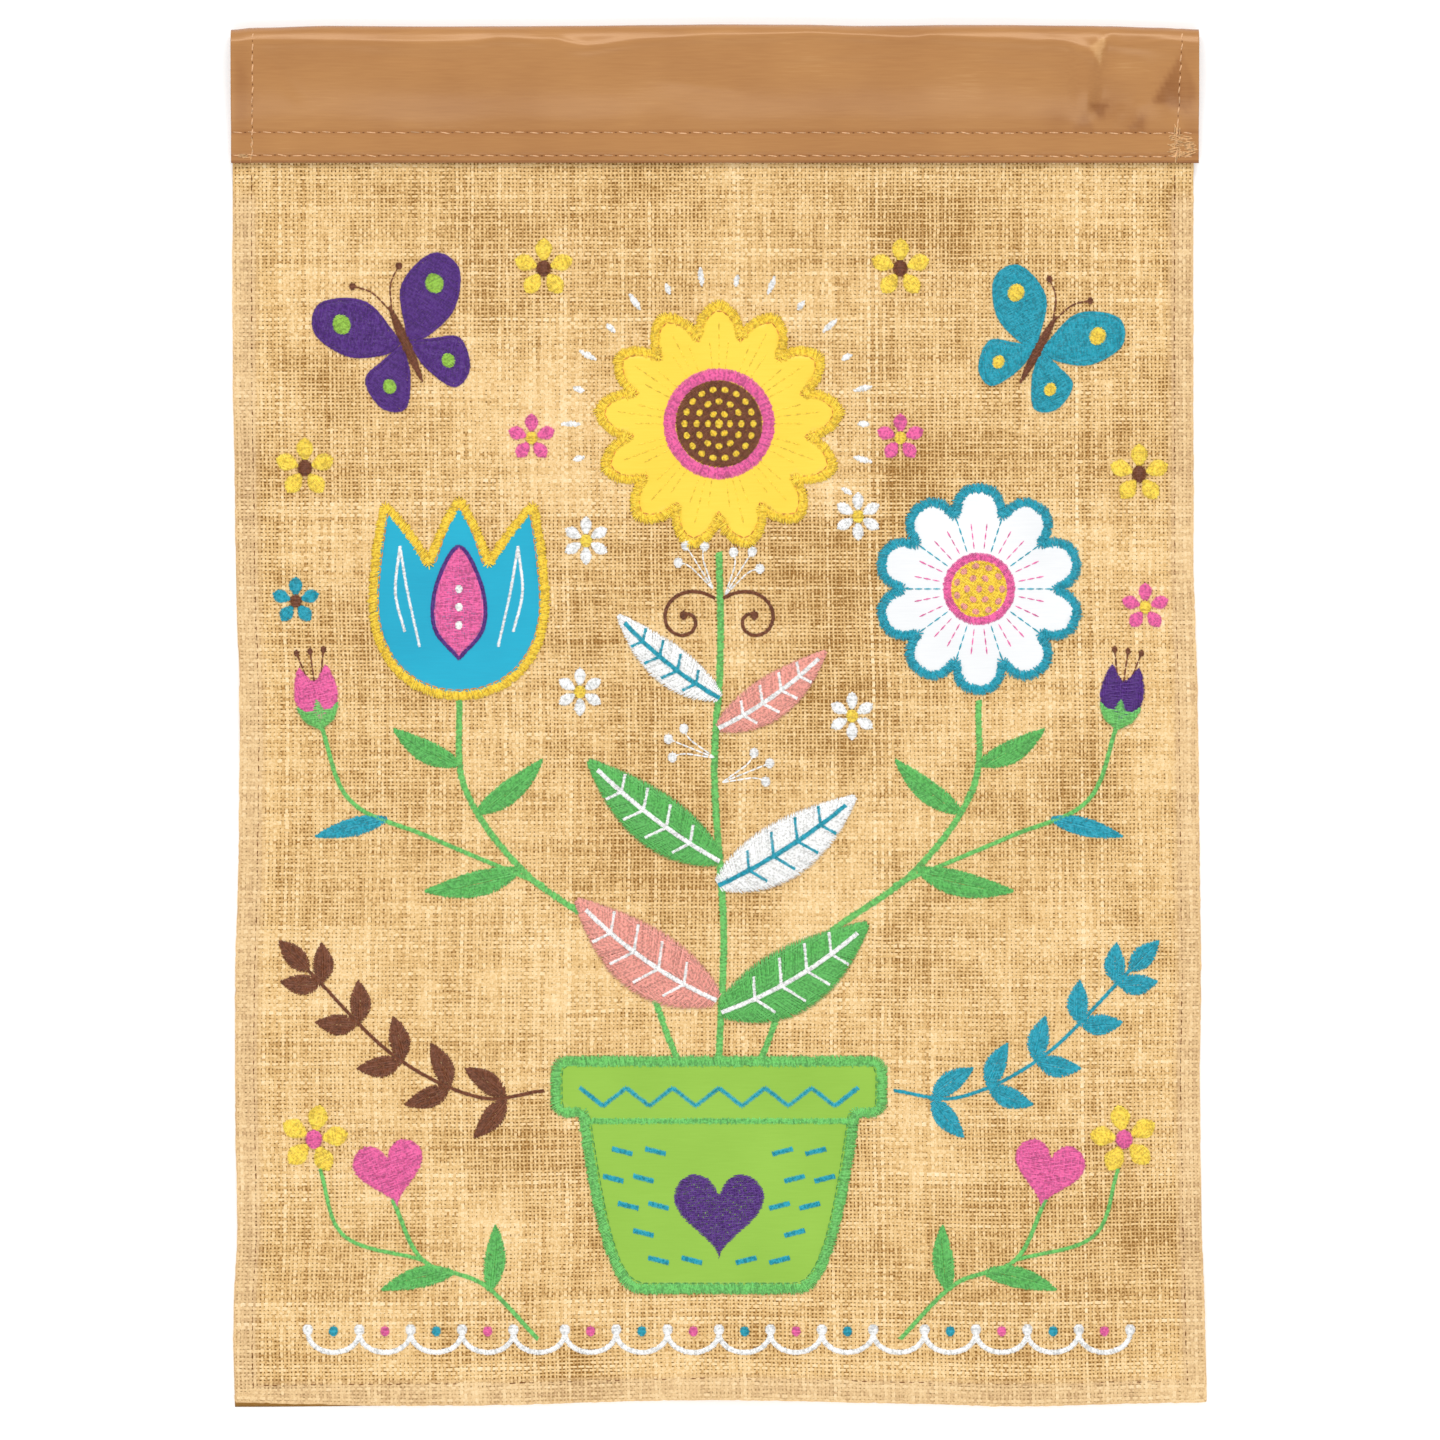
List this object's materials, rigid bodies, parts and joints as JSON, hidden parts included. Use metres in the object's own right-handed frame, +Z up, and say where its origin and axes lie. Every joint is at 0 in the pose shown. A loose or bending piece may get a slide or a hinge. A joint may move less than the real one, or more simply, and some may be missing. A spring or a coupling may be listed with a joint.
{
  "type": "garden flag",
  "caption": "Garden flag of open-weave cloth with an empty satin pole sleeve across the top and sewn-on satin patches, lying flat face up.",
  "frame": {"origin": "on the surface the flag lies on, under the middle of its bounding box", "axes": "+X to the right of the face, +Y along the height towards the pole sleeve, +Z up out of the face"},
  "size_m": [0.3226, 0.4572, 0.0087],
  "materials": {
    "burlap": "coarse plain weave, matt",
    "satin_tan": "smooth satin with a soft sheen",
    "satin_yellow": "smooth satin with a soft sheen",
    "satin_white": "smooth satin with a soft sheen",
    "satin_turquoise": "smooth satin with a soft sheen",
    "satin_lime": "smooth satin with a soft sheen"
  },
  "bodies": {
    "root": {"burlap_panel": "burlap", "header_sleeve": "satin_tan", "applique_sunflower": "satin_yellow", "applique_daisy": "satin_white", "applique_tulip": "satin_turquoise", "applique_pot": "satin_lime"}
  },
  "joints": []
}
